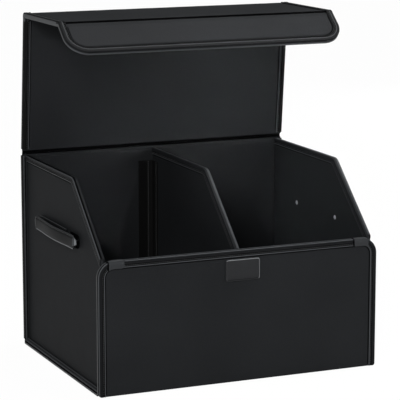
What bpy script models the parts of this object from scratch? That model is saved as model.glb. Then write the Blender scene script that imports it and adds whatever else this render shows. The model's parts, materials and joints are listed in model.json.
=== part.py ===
"""Cargo storage box with a folding three-section lid, built panel by panel.

Metres, +Z up. The origin is the centre of the base's footprint, on the underside.
+X is the box's right, +Y its back, and the lid stands open.
"""

import math

import bmesh
import bpy
from mathutils import Vector

# Outer size of the body
WIDTH = 0.450
DEPTH = 0.340
SIDE_HEIGHT = 0.3035
FRONT_HEIGHT = 0.200
CHAMFER_DEPTH = 0.121
CHAMFER_FOOT_HEIGHT = 0.203

# Boards, each with its cover
PANEL_THICKNESS = 0.006
FRONT_THICKNESS = 0.0068
BASE_THICKNESS = 0.007
FLOOR_BOARD_THICKNESS = 0.0025
BACK_LINER_THICKNESS = 0.0025
SIDE_INSET = 0.007
DIVIDER_DROP = 0.002
DIVIDER_X = -0.003

# Rounding
FRONT_TOP_RADIUS = 0.024
FRONT_FOOT_RADIUS = 0.004
CHAMFER_RADIUS = 0.018
LID_CORNER_RADIUS = 0.034
BOARD_EDGE_RADIUS = 0.0012
ARC_STEPS = 8

# Binding tape that is folded over the free edges
TAPE_THICKNESS = 0.0008
WRAP_LAP = 0.004
SIDE_LAP = 0.009
FRONT_LAP = 0.0105
LID_LAP = 0.0104
CLEARANCE = 0.0003
OVERCUT = 0.005

# Lid, from the hinge at the back to the free edge of the flap
LID_INSET = 0.0006
LID_REAR_LENGTH = 0.217
LID_MID_LENGTH = 0.157
LID_FLAP_LENGTH = 0.0623
LID_LEAN_DEG = 5.4
LID_MID_BEND_DEG = 84.2
LID_FLAP_BEND_DEG = 39.5
LID_SEAT_GAP = 0.0009
FOLD_SETBACK = 0.0035
FOLD_TAPE_SETBACK = 0.0052

# Tabs that hold the front panel to the sides
TAB_LENGTH = 0.026
TAB_THICKNESS = 0.001
TAB_LAP = 0.0125

# Catch
LATCH_WIDTH = 0.0553
LATCH_HEIGHT = 0.033
LATCH_THICKNESS = 0.0018
LATCH_RADIUS = 0.004
LATCH_X = 0.0022
LATCH_DROP = 0.003
MAGNET_THICKNESS = 0.0012
MAGNET_MARGIN = 0.008
PLATE_EDGE_RADIUS = 0.0005

# Fixing of the divider at the back
LOOP_TAPE_WIDTH = 0.0241
LOOP_TAPE_THICKNESS = 0.001
DIVIDER_FIX_TOP = 0.2826
FLANGE_BACK_LEG = 0.011
FLANGE_SIDE_LEG = 0.021
FLANGE_THICKNESS = 0.0018

# Handles
RIVET_SPACING = 0.134
HANDLE_FROM_FRONT = 0.180
HANDLE_HEIGHT = 0.211
STRAP_WIDTH = 0.021
STRAP_THICKNESS = 0.0026
STRAP_OVERHANG = 0.021
STRAP_TURN_RADIUS = 0.0036
STRAP_BOW = 0.0035
STRAP_LONG_FOOT = 0.118
STRAP_SHORT_FOOT = 0.030
STRAP_BOW_STEPS = 12
RIVET_SHANK_RADIUS = 0.0013
RIVET_HEAD_RADIUS = 0.0034
RIVET_HEAD_HEIGHT = 0.0015
RIVET_STEPS = 16

# Piping along the foot of the sides
WELT_RADIUS = 0.0012
WELT_STEPS = 12
FOLD_STEPS = 20

# Places worked out from the sizes above
COVER = CLEARANCE + TAPE_THICKNESS
FRONT_Y = -DEPTH / 2
FRONT_TOTAL = FRONT_THICKNESS + 2 * COVER
FRONT_MID_Y = FRONT_Y + FRONT_TOTAL / 2
INNER_FRONT_Y = FRONT_Y + FRONT_TOTAL + CLEARANCE
BACK_MID_Y = DEPTH / 2 - COVER - PANEL_THICKNESS / 2
BACK_FACE_Y = BACK_MID_Y - PANEL_THICKNESS / 2
SIDE_OUTER_X = WIDTH / 2 - SIDE_INSET
SIDE_MID_X = SIDE_OUTER_X - PANEL_THICKNESS / 2
SIDE_INNER_X = SIDE_OUTER_X - PANEL_THICKNESS
LINER_FACE_Y = BACK_FACE_Y - CLEARANCE - BACK_LINER_THICKNESS
SIDE_FOOT_Z = BASE_THICKNESS + CLEARANCE
FLOOR_Z = SIDE_FOOT_Z + FLOOR_BOARD_THICKNESS
HINGE_Z = SIDE_HEIGHT + LID_SEAT_GAP + COVER + PANEL_THICKNESS / 2
HANDLE_Y = FRONT_Y + HANDLE_FROM_FRONT
FOLD_RADIUS = FOLD_SETBACK - CLEARANCE
LID_EDGE_X = WIDTH / 2 - LID_INSET

# Directions that a flat outline is stood up in
FACING_FRONT = (math.radians(90), 0, 0)
FACING_SIDE = (math.radians(90), 0, math.radians(90))
ALONG_X = (0, math.radians(90), 0)
ALONG_Y = (math.radians(90), 0, 0)

LEATHERETTE = ((0.020, 0.021, 0.023), 0.45, 0.0)
BINDING = ((0.024, 0.025, 0.027), 0.40, 0.0)
BOARD = ((0.016, 0.016, 0.017), 0.70, 0.0)
LOOP_TAPE = ((0.006, 0.006, 0.006), 0.95, 0.0)
POLISHED_METAL = ((0.75, 0.75, 0.76), 0.18, 1.0)
DARK_METAL = ((0.030, 0.031, 0.033), 0.30, 0.6)


def clear_scene():
    for item in list(bpy.data.objects):
        bpy.data.objects.remove(item, do_unlink=True)


def new_collection(name):
    collection = bpy.data.collections.new(name)
    bpy.context.scene.collection.children.link(collection)
    return collection


def finish(name, look):
    """One Principled material for one piece."""
    colour, roughness, metallic = look
    material = bpy.data.materials.new(name + "_finish")
    material.use_nodes = True
    shader = material.node_tree.nodes["Principled BSDF"]
    shader.inputs["Base Color"].default_value = (*colour, 1.0)
    shader.inputs["Roughness"].default_value = roughness
    shader.inputs["Metallic"].default_value = metallic
    return material


def register(piece, look, place=(0, 0, 0), turn=(0, 0, 0), parent=None):
    """Put a piece in the box's collection with its look and its place."""
    for collection in list(piece.users_collection):
        collection.objects.unlink(piece)
    BOX.objects.link(piece)
    piece.data.materials.clear()
    piece.data.materials.append(finish(piece.name, look))
    piece.location = place
    piece.rotation_euler = turn
    piece.parent = parent
    return piece


def corners(*points):
    return [Vector(point) for point in points]


def rectangle(left, bottom, right, top):
    """Edges in order: bottom, right, top, left."""
    return corners((left, bottom), (right, bottom), (right, top), (left, top))


def inset(points, amounts):
    """Move each edge of a counter-clockwise outline inwards by its own amount."""
    normals = []
    for start, end in zip(points, points[1:] + points[:1]):
        along = (end - start).normalized()
        normals.append(Vector((-along.y, along.x)))
    moved = []
    for index, corner in enumerate(points):
        before, after = normals[index - 1], normals[index]
        first, second = amounts[index - 1], amounts[index]
        spread = before.x * after.y - before.y * after.x
        shift_x = (first * after.y - second * before.y) / spread
        shift_y = (second * before.x - first * after.x) / spread
        moved.append(corner + Vector((shift_x, shift_y)))
    return moved


def rounded(points, radii):
    """Replace each corner that has a radius by an arc."""
    outline = []
    for index, corner in enumerate(points):
        radius = radii[index]
        if radius <= 0:
            outline.append(corner)
            continue
        before = (points[index - 1] - corner).normalized()
        after = (points[(index + 1) % len(points)] - corner).normalized()
        half = before.angle(after) / 2
        centre = corner + (before + after).normalized() * radius / math.sin(half)
        start = corner + before * radius / math.tan(half) - centre
        end = corner + after * radius / math.tan(half) - centre
        first = math.atan2(start.y, start.x)
        sweep = math.remainder(math.atan2(end.y, end.x) - first, math.tau)
        for step in range(ARC_STEPS + 1):
            angle = first + sweep * step / ARC_STEPS
            outline.append(centre + Vector((math.cos(angle), math.sin(angle))) * radius)
    return outline


def less(radii, amount):
    return [max(radius - amount, 0) for radius in radii]


def curve_mesh(name, points, half_depth, closed):
    """Flat curve drawn in XY and extruded along Z, as a welded mesh."""
    curve = bpy.data.curves.new(name, "CURVE")
    curve.dimensions = "2D"
    curve.fill_mode = "BOTH" if closed else "NONE"
    curve.extrude = half_depth
    spline = curve.splines.new("POLY")
    spline.points.add(len(points) - 1)
    for point, knot in zip(points, spline.points):
        knot.co = (point.x, point.y, 0, 1)
    spline.use_cyclic_u = closed
    guide = bpy.data.objects.new(name + "_guide", curve)
    bpy.context.scene.collection.objects.link(guide)
    graph = bpy.context.evaluated_depsgraph_get()
    mesh = bpy.data.meshes.new_from_object(guide.evaluated_get(graph))
    mesh.name = name
    bpy.data.objects.remove(guide)
    work = bmesh.new()
    work.from_mesh(mesh)
    bmesh.ops.remove_doubles(work, verts=work.verts, dist=1e-6)
    work.to_mesh(mesh)
    work.free()
    return mesh


def slab(name, outline, low, high):
    """Solid of a flat outline between two heights along its own Z."""
    mesh = curve_mesh(name, outline, (high - low) / 2, True)
    for vertex in mesh.vertices:
        vertex.co.z += (high + low) / 2
    return bpy.data.objects.new(name, mesh)


def soften(piece, width):
    edge = piece.modifiers.new("soft_edge", "BEVEL")
    edge.width = width
    edge.segments = 2
    edge.limit_method = "ANGLE"
    edge.angle_limit = math.radians(50)


def cut(piece, cutter, operation="DIFFERENCE"):
    step = piece.modifiers.new(cutter.name, "BOOLEAN")
    step.operation = operation
    step.solver = "EXACT"
    step.object = cutter


def as_cutter(cutter, place=(0, 0, 0), turn=(0, 0, 0), parent=None):
    for collection in list(cutter.users_collection):
        collection.objects.unlink(cutter)
    CUTTERS.objects.link(cutter)
    cutter.location = place
    cutter.rotation_euler = turn
    cutter.parent = parent
    cutter.hide_render = True
    cutter.display_type = "WIRE"
    return cutter


def board(name, outline, thickness, look, place, turn=(0, 0, 0), parent=None, edge=BOARD_EDGE_RADIUS):
    """Covered board with softly rounded edges."""
    piece = slab(name, outline, -thickness / 2, thickness / 2)
    soften(piece, edge)
    return register(piece, look, place, turn, parent)


def binding(name, outline, radii, bound, ends, core, lap, where, tape=TAPE_THICKNESS, one_sided=False):
    """Tape folded over the bound edges of a board of the given core thickness.

    The outline is the tape's outer edge. Unbound edges are cut back by their end amounts.
    A one-sided tape has no lip on the underside.
    """
    place, turn, parent = where
    inner = core / 2 + CLEARANCE
    outer = inner + tape
    bottom = CLEARANCE - core / 2 if one_sided else -outer
    edge = [0 if held else end for held, end in zip(bound, ends)]
    slot = [tape if held else -OVERCUT for held in bound]
    window = [lap if held else -OVERCUT for held in bound]
    piece = slab(name, rounded(inset(outline, edge), radii), bottom, outer)
    slot_floor = -core if one_sided else -inner
    slot_solid = slab(name + "_slot", rounded(inset(outline, slot), less(radii, tape)), slot_floor, inner)
    window_outline = rounded(inset(outline, window), less(radii, lap))
    window_solid = slab(name + "_window", window_outline, -2 * core, 2 * core)
    cut(piece, as_cutter(slot_solid, place, turn, parent))
    cut(piece, as_cutter(window_solid, place, turn, parent))
    return register(piece, BINDING, place, turn, parent)


def pivot(name, place, bend_deg, parent=None):
    """Empty on a fold's axis. Its section runs along local +Z, outer face towards +Y."""
    empty = bpy.data.objects.new(name, None)
    BOX.objects.link(empty)
    empty.location = place
    empty.rotation_euler = (math.radians(bend_deg), 0, 0)
    empty.parent = parent
    return empty


def rod(name, radius, length, steps, place, turn, look=None, parent=None):
    bpy.ops.mesh.primitive_cylinder_add(vertices=steps, radius=radius, depth=length)
    piece = bpy.context.object
    piece.name = name
    piece.data.name = name
    if look is None:
        return as_cutter(piece, place, turn, parent)
    piece.data.shade_smooth()
    piece.data.set_sharp_from_angle(angle=math.radians(40))
    return register(piece, look, place, turn, parent)


def side_profile():
    """Side panel from the front: foot, back, level top, chamfer, front. X is depth, Y is height."""
    return corners(
        (INNER_FRONT_Y, SIDE_FOOT_Z),
        (BACK_FACE_Y - CLEARANCE, SIDE_FOOT_Z),
        (BACK_FACE_Y - CLEARANCE, SIDE_HEIGHT),
        (FRONT_Y + CHAMFER_DEPTH, SIDE_HEIGHT),
        (INNER_FRONT_Y, CHAMFER_FOOT_HEIGHT),
    )


SIDE_RADII = (0, 0, 0, CHAMFER_RADIUS, 0)
SIDE_BOUND = (False, False, True, True, False)


def make_base():
    outline = rectangle(-WIDTH / 2 + COVER, INNER_FRONT_Y, WIDTH / 2 - COVER, BACK_FACE_Y - CLEARANCE)
    board("base_panel", outline, BASE_THICKNESS, LEATHERETTE, (0, 0, BASE_THICKNESS / 2))
    edge = rectangle(-WIDTH / 2, INNER_FRONT_Y, WIDTH / 2, BACK_FACE_Y - CLEARANCE)
    ends = (0, 0, COVER, 0)
    where = ((0, 0, BASE_THICKNESS / 2), (0, 0, 0), None)
    for side, bound in (("left", (False, False, False, True)), ("right", (False, True, False, False))):
        binding(f"base_binding_{side}", edge, (0,) * 4, bound, ends, BASE_THICKNESS, WRAP_LAP, where,
                one_sided=True)
    reach = SIDE_INNER_X - CLEARANCE
    outline = rectangle(-reach, INNER_FRONT_Y, reach, LINER_FACE_Y - CLEARANCE)
    board("floor_board", outline, FLOOR_BOARD_THICKNESS, BOARD, (0, 0, FLOOR_Z - FLOOR_BOARD_THICKNESS / 2),
          edge=PLATE_EDGE_RADIUS)


def make_back():
    top = HINGE_Z - FOLD_SETBACK
    outline = rectangle(-WIDTH / 2 + COVER, 0, WIDTH / 2 - COVER, top)
    place = (0, BACK_MID_Y, 0)
    board("back_panel", outline, PANEL_THICKNESS, LEATHERETTE, place, FACING_FRONT)
    edge = rectangle(-WIDTH / 2, 0, WIDTH / 2, HINGE_Z)
    ends = (SIDE_FOOT_Z + COVER, 0, FOLD_TAPE_SETBACK, 0)
    for side, bound in (("left", (False, False, False, True)), ("right", (False, True, False, False))):
        binding(f"back_binding_{side}", edge, (0,) * 4, bound, ends, PANEL_THICKNESS, WRAP_LAP,
                (place, FACING_FRONT, None))
    reach = SIDE_INNER_X - COVER - CLEARANCE
    liner_y = LINER_FACE_Y + BACK_LINER_THICKNESS / 2
    board("back_liner", rectangle(-reach, SIDE_FOOT_Z, reach, SIDE_HEIGHT), BACK_LINER_THICKNESS, LEATHERETTE,
          (0, liner_y, 0), FACING_FRONT, edge=PLATE_EDGE_RADIUS)


def make_front():
    edge = rectangle(-WIDTH / 2, 0, WIDTH / 2, FRONT_HEIGHT)
    radii = (FRONT_FOOT_RADIUS, FRONT_FOOT_RADIUS, FRONT_TOP_RADIUS, FRONT_TOP_RADIUS)
    bound = (False, True, True, True)
    outline = rounded(inset(edge, (0, COVER, COVER, COVER)), less(radii, COVER))
    where = ((0, FRONT_MID_Y, 0), FACING_FRONT, None)
    board("front_panel", outline, FRONT_THICKNESS, LEATHERETTE, *where)
    binding("front_binding", edge, radii, bound, (CLEARANCE, 0, 0, 0), FRONT_THICKNESS, FRONT_LAP, where)
    make_tabs(edge, radii, bound, where)


def make_tabs(edge, radii, bound, where):
    """Corner tabs: short straps over the bound top edge of the front panel."""
    grow = CLEARANCE + TAB_THICKNESS
    outer = inset(edge, (0, -grow, -grow, -grow))
    outer_radii = less(radii, -grow)
    middle = SIDE_INNER_X - COVER - CLEARANCE - TAB_LENGTH / 2
    for side, sign in (("left", -1), ("right", 1)):
        name = f"{side}_corner_tab"
        tab = binding(name, outer, outer_radii, bound, (0,) * 4, FRONT_TOTAL, TAB_LAP, where, TAB_THICKNESS)
        window = rectangle(-TAB_LENGTH / 2, FRONT_HEIGHT - 2 * TAB_LAP, TAB_LENGTH / 2, FRONT_HEIGHT + TAB_LAP)
        keep = slab(name + "_keep", window, -2 * FRONT_TOTAL, 2 * FRONT_TOTAL)
        cut(tab, as_cutter(keep, (sign * middle, FRONT_MID_Y, 0), FACING_FRONT), "INTERSECT")


def rivet_holes(side, sign):
    """Cutters through a side panel and the strap's feet, one for each rivet."""
    holes = []
    for end, along in (("front", -1), ("rear", 1)):
        place = (sign * SIDE_OUTER_X, HANDLE_Y + along * RIVET_SPACING / 2, HANDLE_HEIGHT)
        length = 2 * (PANEL_THICKNESS + STRAP_THICKNESS) + STRAP_TURN_RADIUS
        radius = RIVET_SHANK_RADIUS + CLEARANCE
        holes.append(rod(f"{side}_{end}_hole", radius, length, RIVET_STEPS, place, ALONG_X))
    return holes


def strap_path(direction):
    """Centre line of a handle strap: long foot, turn, bowed grip, turn, short foot.

    X runs along the strap from the middle between the rivets, towards the back if direction is 1.
    Y is the distance out from the side panel's face.
    """
    foot = CLEARANCE + STRAP_THICKNESS / 2
    reach = RIVET_SPACING / 2 + STRAP_OVERHANG - STRAP_TURN_RADIUS - STRAP_THICKNESS / 2
    centre = foot + STRAP_TURN_RADIUS
    points = [Vector((reach - STRAP_LONG_FOOT, foot))]
    for step in range(ARC_STEPS + 1):
        angle = math.pi * step / ARC_STEPS
        points.append(Vector((reach + STRAP_TURN_RADIUS * math.sin(angle),
                              centre - STRAP_TURN_RADIUS * math.cos(angle))))
    for step in range(1, STRAP_BOW_STEPS):
        share = step / STRAP_BOW_STEPS
        bow = STRAP_BOW * math.sin(math.pi * share) ** 2
        points.append(Vector((reach * (1 - 2 * share), centre + STRAP_TURN_RADIUS + bow)))
    for step in range(ARC_STEPS + 1):
        angle = math.pi * step / ARC_STEPS
        points.append(Vector((-reach - STRAP_TURN_RADIUS * math.sin(angle),
                              centre + STRAP_TURN_RADIUS * math.cos(angle))))
    points.append(Vector((-reach + STRAP_SHORT_FOOT, foot)))
    return [Vector((direction * point.x, point.y)) for point in points]


def make_rivet(side, end, sign, along):
    """Domed rivet through the side panel and the strap's foot, turned about its own axis."""
    grip = PANEL_THICKNESS + STRAP_THICKNESS + 3 * CLEARANCE
    high = grip / 2
    dome = RIVET_HEAD_RADIUS * math.sqrt(0.5)
    rise = RIVET_HEAD_HEIGHT * math.sqrt(0.5)
    upper = [(0, high + RIVET_HEAD_HEIGHT), (dome, high + rise), (RIVET_HEAD_RADIUS, high),
             (RIVET_SHANK_RADIUS, high)]
    lower = [(radius, -height) for radius, height in reversed(upper)]
    work = bmesh.new()
    knots = [work.verts.new((radius, 0, height)) for radius, height in upper + lower]
    for first, second in zip(knots, knots[1:]):
        work.edges.new((first, second))
    name = f"{side}_{end}_rivet"
    mesh = bpy.data.meshes.new(name)
    work.to_mesh(mesh)
    work.free()
    rivet = bpy.data.objects.new(name, mesh)
    turned = rivet.modifiers.new("turned", "SCREW")
    turned.steps = RIVET_STEPS
    turned.render_steps = RIVET_STEPS
    turned.use_merge_vertices = True
    turned.merge_threshold = 1e-5
    turned.use_smooth_shade = True
    middle = SIDE_OUTER_X + grip / 2 - PANEL_THICKNESS - CLEARANCE
    place = (sign * middle, HANDLE_Y + along * RIVET_SPACING / 2, HANDLE_HEIGHT)
    register(rivet, POLISHED_METAL, place, ALONG_X)


def make_handle(side, sign, holes):
    path = strap_path(-sign)
    mesh = curve_mesh(f"{side}_handle_strap", path, STRAP_WIDTH / 2, False)
    strap = bpy.data.objects.new(mesh.name, mesh)
    ply = strap.modifiers.new("ply", "SOLIDIFY")
    ply.thickness = STRAP_THICKNESS
    ply.offset = 0
    soften(strap, PLATE_EDGE_RADIUS)
    for hole in holes:
        cut(strap, hole)
    place = (sign * SIDE_OUTER_X, HANDLE_Y, HANDLE_HEIGHT)
    register(strap, LEATHERETTE, place, (0, 0, -sign * math.radians(90)))
    for end, along in (("front", -1), ("rear", 1)):
        make_rivet(side, end, sign, along)


def make_sides():
    profile = side_profile()
    core = inset(profile, [COVER if held else 0 for held in SIDE_BOUND])
    outline = rounded(core, less(SIDE_RADII, COVER))
    welt_length = BACK_FACE_Y - INNER_FRONT_Y - 2 * CLEARANCE
    for side, sign in (("left", -1), ("right", 1)):
        place = (sign * SIDE_MID_X, 0, 0)
        panel = board(f"{side}_side_panel", outline, PANEL_THICKNESS, LEATHERETTE, place, FACING_SIDE)
        holes = rivet_holes(side, sign)
        for hole in holes:
            cut(panel, hole)
        binding(f"{side}_side_binding", profile, SIDE_RADII, SIDE_BOUND, (0,) * 5, PANEL_THICKNESS, SIDE_LAP,
                (place, FACING_SIDE, None))
        make_handle(side, sign, holes)
        welt_x = sign * (SIDE_OUTER_X + CLEARANCE + WELT_RADIUS)
        welt_place = (welt_x, (BACK_FACE_Y + INNER_FRONT_Y) / 2, SIDE_FOOT_Z + WELT_RADIUS)
        rod(f"{side}_foot_welt", WELT_RADIUS, welt_length, WELT_STEPS, welt_place, ALONG_Y, BINDING)


def make_divider():
    room = inset(side_profile(), (0, BACK_FACE_Y - LINER_FACE_Y, DIVIDER_DROP, DIVIDER_DROP, 0))
    profile = inset(room, (FLOOR_Z + CLEARANCE - SIDE_FOOT_Z, 0, 0, 0, 0))
    outline = rounded(inset(profile, [COVER if held else 0 for held in SIDE_BOUND]), less(SIDE_RADII, COVER))
    where = ((DIVIDER_X, 0, 0), FACING_SIDE, None)
    board("divider_panel", outline, PANEL_THICKNESS, LEATHERETTE, *where)
    binding("divider_binding", profile, SIDE_RADII, SIDE_BOUND, (0,) * 5, PANEL_THICKNESS, SIDE_LAP, where)
    make_divider_fixing()


def make_divider_fixing():
    """Loop tape on the back liner, and the angled flange that joins the divider to it."""
    foot = FLOOR_Z + CLEARANCE
    divider_face = DIVIDER_X - PANEL_THICKNESS / 2 - CLEARANCE
    tape_y = LINER_FACE_Y - CLEARANCE - LOOP_TAPE_THICKNESS / 2
    tape = rectangle(divider_face - LOOP_TAPE_WIDTH, foot, divider_face, DIVIDER_FIX_TOP)
    board("divider_loop_tape", tape, LOOP_TAPE_THICKNESS, LOOP_TAPE, (0, tape_y, 0), FACING_FRONT,
          edge=PLATE_EDGE_RADIUS / 2)
    back = tape_y - LOOP_TAPE_THICKNESS / 2 - CLEARANCE
    plan = corners(
        (divider_face - FLANGE_BACK_LEG, back - FLANGE_THICKNESS),
        (divider_face - FLANGE_THICKNESS, back - FLANGE_THICKNESS),
        (divider_face - FLANGE_THICKNESS, back - FLANGE_SIDE_LEG),
        (divider_face, back - FLANGE_SIDE_LEG),
        (divider_face, back),
        (divider_face - FLANGE_BACK_LEG, back),
    )
    flange = slab("divider_flange", plan, foot, DIVIDER_FIX_TOP)
    soften(flange, PLATE_EDGE_RADIUS)
    register(flange, LEATHERETTE)


def make_latch():
    """Bare catch plate on the front, under the middle of the flap."""
    outline = rectangle(-LATCH_WIDTH / 2, -LATCH_HEIGHT / 2, LATCH_WIDTH / 2, LATCH_HEIGHT / 2)
    face = FRONT_Y + COVER - CLEARANCE - LATCH_THICKNESS / 2
    top = FRONT_HEIGHT - FRONT_LAP - LATCH_DROP
    place = (LATCH_X, face, top - LATCH_HEIGHT / 2)
    board("latch_plate", rounded(outline, (LATCH_RADIUS,) * 4), LATCH_THICKNESS, DARK_METAL, place,
          FACING_FRONT, edge=PLATE_EDGE_RADIUS)


def lid_section(name, length, parent):
    """Middle section of the lid wrap, with a bound edge on the left and on the right."""
    outline = rectangle(-LID_EDGE_X + COVER, FOLD_SETBACK, LID_EDGE_X - COVER, length - FOLD_SETBACK)
    board(f"{name}_panel", outline, PANEL_THICKNESS, LEATHERETTE, (0, 0, 0), FACING_FRONT, parent)
    edge = rectangle(-LID_EDGE_X, 0, LID_EDGE_X, length)
    ends = (FOLD_TAPE_SETBACK, 0, FOLD_TAPE_SETBACK, 0)
    for side, bound in (("left", (False, False, False, True)), ("right", (False, True, False, False))):
        binding(f"{name}_binding_{side}", edge, (0,) * 4, bound, ends, PANEL_THICKNESS, LID_LAP,
                ((0, 0, 0), FACING_FRONT, parent))


def make_flap(parent):
    edge = rectangle(-LID_EDGE_X, 0, LID_EDGE_X, LID_FLAP_LENGTH)
    radii = (0, 0, LID_CORNER_RADIUS, LID_CORNER_RADIUS)
    outline = rounded(inset(edge, (FOLD_SETBACK, COVER, COVER, COVER)), less(radii, COVER))
    board("lid_flap_panel", outline, PANEL_THICKNESS, LEATHERETTE, (0, 0, 0), FACING_FRONT, parent)
    binding("lid_flap_binding", edge, radii, (False, True, True, True), (FOLD_TAPE_SETBACK, 0, 0, 0),
            PANEL_THICKNESS, LID_LAP, ((0, 0, 0), FACING_FRONT, parent))
    low = FOLD_SETBACK + MAGNET_MARGIN
    patch = rectangle(LATCH_X - LATCH_WIDTH / 2, low, LATCH_X + LATCH_WIDTH / 2, low + LATCH_HEIGHT)
    face = -PANEL_THICKNESS / 2 - CLEARANCE - MAGNET_THICKNESS / 2
    board("flap_magnet_patch", rounded(patch, (LATCH_RADIUS,) * 4), MAGNET_THICKNESS, LEATHERETTE,
          (0, face, 0), FACING_FRONT, parent, PLATE_EDGE_RADIUS)


def make_lid():
    rear = pivot("lid_rear_pivot", (0, BACK_MID_Y, HINGE_Z), LID_LEAN_DEG)
    middle = pivot("lid_mid_pivot", (0, 0, LID_REAR_LENGTH), LID_MID_BEND_DEG, rear)
    flap = pivot("lid_flap_pivot", (0, 0, LID_MID_LENGTH), LID_FLAP_BEND_DEG, middle)
    lid_section("lid_rear", LID_REAR_LENGTH, rear)
    lid_section("lid_mid", LID_MID_LENGTH, middle)
    make_flap(flap)
    for name, parent in (("back_fold_web", rear), ("mid_fold_web", middle), ("flap_fold_web", flap)):
        rod(name, FOLD_RADIUS, 2 * (LID_EDGE_X - COVER), FOLD_STEPS, (0, 0, 0), ALONG_X, LEATHERETTE, parent)


clear_scene()
BOX = new_collection("cargo_storage_box")
CUTTERS = new_collection("cutters")
make_base()
make_back()
make_front()
make_sides()
make_divider()
make_latch()
make_lid()
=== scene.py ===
"""Looks of the cargo storage box: leatherette covers, edge tapes, stitches, straps and the studio.

Metres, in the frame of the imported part: +Z up, +X the box's right, +Y its back. Flat pieces are
drawn as (across, along, out): out is the height above the middle of the board.
"""

import json
import math

import bmesh
import bpy
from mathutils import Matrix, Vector, noise


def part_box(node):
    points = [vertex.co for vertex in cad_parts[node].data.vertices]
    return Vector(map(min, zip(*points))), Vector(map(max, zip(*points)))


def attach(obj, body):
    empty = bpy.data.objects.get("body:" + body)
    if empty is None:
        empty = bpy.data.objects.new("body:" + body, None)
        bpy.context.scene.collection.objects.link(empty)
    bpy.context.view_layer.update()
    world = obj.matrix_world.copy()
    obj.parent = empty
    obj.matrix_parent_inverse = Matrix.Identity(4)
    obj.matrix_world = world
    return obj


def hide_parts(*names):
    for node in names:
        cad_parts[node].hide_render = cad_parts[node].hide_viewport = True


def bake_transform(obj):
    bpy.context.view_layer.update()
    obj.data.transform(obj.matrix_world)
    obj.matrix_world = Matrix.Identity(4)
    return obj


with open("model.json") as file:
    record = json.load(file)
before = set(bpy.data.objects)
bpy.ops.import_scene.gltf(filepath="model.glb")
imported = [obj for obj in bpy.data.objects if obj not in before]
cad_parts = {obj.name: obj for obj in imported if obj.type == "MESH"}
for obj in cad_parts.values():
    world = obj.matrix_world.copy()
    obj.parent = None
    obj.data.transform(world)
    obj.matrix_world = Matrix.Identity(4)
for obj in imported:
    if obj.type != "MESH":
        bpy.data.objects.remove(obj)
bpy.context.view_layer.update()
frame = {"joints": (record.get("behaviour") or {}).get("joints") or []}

# Sizes repeated from the part
PANEL_HALF = 0.003
FRONT_HALF = 0.0034
BASE_HALF = 0.0035
CLEARANCE = 0.0003
TAPE = 0.0008
COVER = CLEARANCE + TAPE
BACK_LAP = 0.004
SIDE_LAP = 0.009
FRONT_LAP = 0.0105
LID_LAP = 0.0104
TAB_LAP = 0.0125
TAB_THICKNESS = 0.001
CHAMFER_RADIUS = 0.018
FRONT_TOP_RADIUS = 0.024
FRONT_FOOT_RADIUS = 0.004
LID_CORNER_RADIUS = 0.034
CHAMFER_DEPTH = 0.121
CHAMFER_FOOT_HEIGHT = 0.203
DIVIDER_DROP = 0.002
LID_LEAN = math.radians(5.4)
LID_MID_BEND = math.radians(84.2)
LID_FLAP_BEND = math.radians(39.5)
LID_FLAP_LENGTH = 0.0623
LID_TAPE_SETBACK = 0.0052
STRAP_HALF_WIDTH = 0.0105
STRAP_HALF = 0.0013
STRAP_OVERHANG = 0.021
STRAP_TURN_RADIUS = 0.0036
STRAP_BOW = 0.0035
STRAP_LONG_FOOT = 0.118
STRAP_SHORT_FOOT = 0.030
RIVET_SHANK_RADIUS = 0.0013
RIVET_HEAD_RADIUS = 0.0034
RIVET_HEAD_HEIGHT = 0.0015

# How finely the shapes are drawn
ARC_STEPS = 12
TURN_STEPS = 28
NOSE_STEPS = 12
CORNER_STEPS = 4
SHARPEST = 0.0004
SQUARE = (0,) * 4
GRID_PITCH = 0.011
GRID_TAG = 9
SOFT_SHARP = 50
METAL_SHARP = 30
SWELL_SIZE = 0.00022
SWELL_SCALE = 13
THIN_LAP = 0.002

# Edge tapes and stitches
STITCH_PITCH = 0.0033
STITCH_LENGTH = 0.0023
STITCH_RADIUS = 0.00036
STITCH_SIDES = 6
STITCH_GROOVE = 0.00062
STITCH_SHAPE = ((-1, 0.4, -0.9), (-0.72, 1, 0.1), (0, 1, 0.75), (0.72, 1, 0.1), (1, 0.4, -0.9))
GROOVE_HALF = 0.0015
GROOVE_SHAPE = ((1, 0), (0.6, 0.8), (0, 1), (-0.6, 0.8))
STITCH_FROM_LIP = 0.0031
SHOULDER = 0.0009
NOSE_RADIUS = 0.0013
LIP_RADIUS = 0.0005

# Folds
FOLD_REACH = 0.009
FOLD_BEND_REACH = 0.006
FOLD_PITCH = 0.0012
FOLD_ROWS = (0, 0.0004, 0.0008, 0.0012, 0.0016, 0.0020, 0.0025, 0.0031, 0.0040, 0.0052, 0.0070, FOLD_REACH)
CRUMPLE = 0.00018
CRUMPLE_WIDE = 90
CRUMPLE_LONG = 160

# Corner tabs. The end of a tab is given by distances from its end, and how much slimmer the tab is there.
TAB_STATIONS = 14
TAB_CORNER = 0.004
TAB_LIP = 0.0005
TAB_LIP_DEPTH = 0.0004
TAB_GROWTH = CLEARANCE + TAB_THICKNESS
# Stations at the left end of each tab that take painted shade
TAB_SHADED_STATIONS = 3
TAB_END = ((0, 0.0011), (0.0004, 0.0006), (0.0010, 0.0003), (0.0020, 0.0001), (TAB_CORNER, 0))

# Foot welts, flange and loop tape
WELT_PITCH = 0.0009
WELT_GATHER = 0.10
FLANGE_THICKNESS = 0.0018
FLANGE_CORNER_RADIUS = 0.0032
FLANGE_STITCH = 0.0026
PILE_PITCH = 0.0016
PILE_ACROSS = 15
PILE_EDGE = 0.0015
PILE_SCALE = 900
PILE_LEAST = 0.35
PILE_UNEVEN = 0.3

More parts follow.
